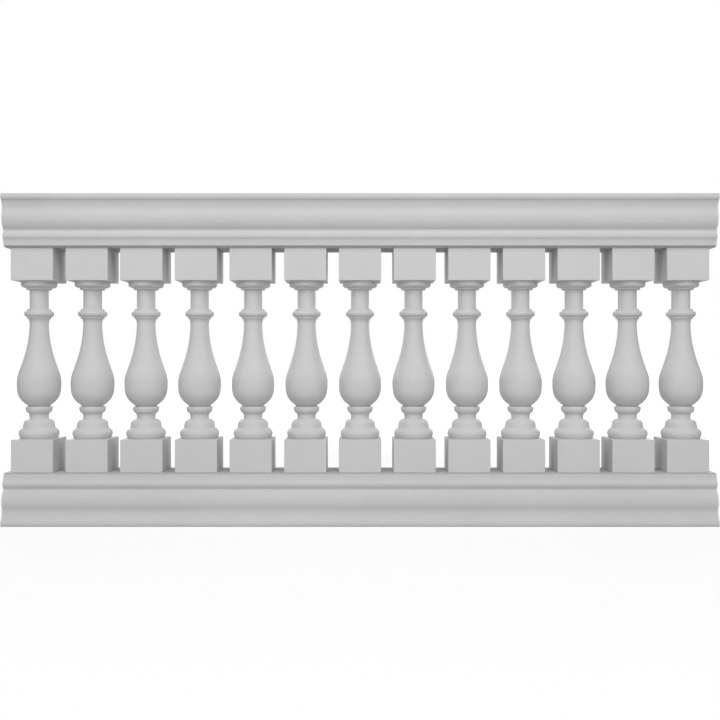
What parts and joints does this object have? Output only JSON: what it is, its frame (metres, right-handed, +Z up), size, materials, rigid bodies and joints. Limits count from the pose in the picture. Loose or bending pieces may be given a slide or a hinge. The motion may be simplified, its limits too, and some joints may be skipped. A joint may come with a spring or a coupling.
{
  "type": "fibreglass deck railing panel",
  "caption": "Straight balustrade panel: turned balusters with square plinths between a moulded top rail and a matching moulded bottom rail, bolted to posts through plates in the rail ends.",
  "frame": {"origin": "middle of the underside of the bottom rail, in the middle of its length and width", "axes": "+X along the rails to the right of a viewer at the front, +Y through the railing away from the viewer, +Z up"},
  "size_m": [2.1336, 0.1968, 0.9906],
  "materials": {
    "rail_gelcoat": "pale grey-white satin gelcoat over hand-laid fibreglass",
    "baluster_gelcoat": "pale grey-white satin gelcoat over hand-laid fibreglass",
    "board_laminate": "flat fibreglass board in the same pale grey-white",
    "plate_laminate": "flat fibreglass plate with two bolt holes, cut edges sealed"
  },
  "bodies": {
    "root": {"bottom_rail": "rail_gelcoat", "bottom_closing_board": "board_laminate", "bottom_left_end_plate": "plate_laminate", "bottom_right_end_plate": "plate_laminate", "baluster_01": "baluster_gelcoat", "baluster_02": "baluster_gelcoat", "baluster_03": "baluster_gelcoat", "baluster_04": "baluster_gelcoat", "baluster_05": "baluster_gelcoat", "baluster_06": "baluster_gelcoat", "baluster_07": "baluster_gelcoat", "baluster_08": "baluster_gelcoat", "baluster_09": "baluster_gelcoat", "baluster_10": "baluster_gelcoat", "baluster_11": "baluster_gelcoat", "baluster_12": "baluster_gelcoat", "baluster_13": "baluster_gelcoat", "top_rail": "rail_gelcoat", "top_closing_board": "board_laminate", "top_left_end_plate": "plate_laminate", "top_right_end_plate": "plate_laminate"}
  },
  "joints": []
}
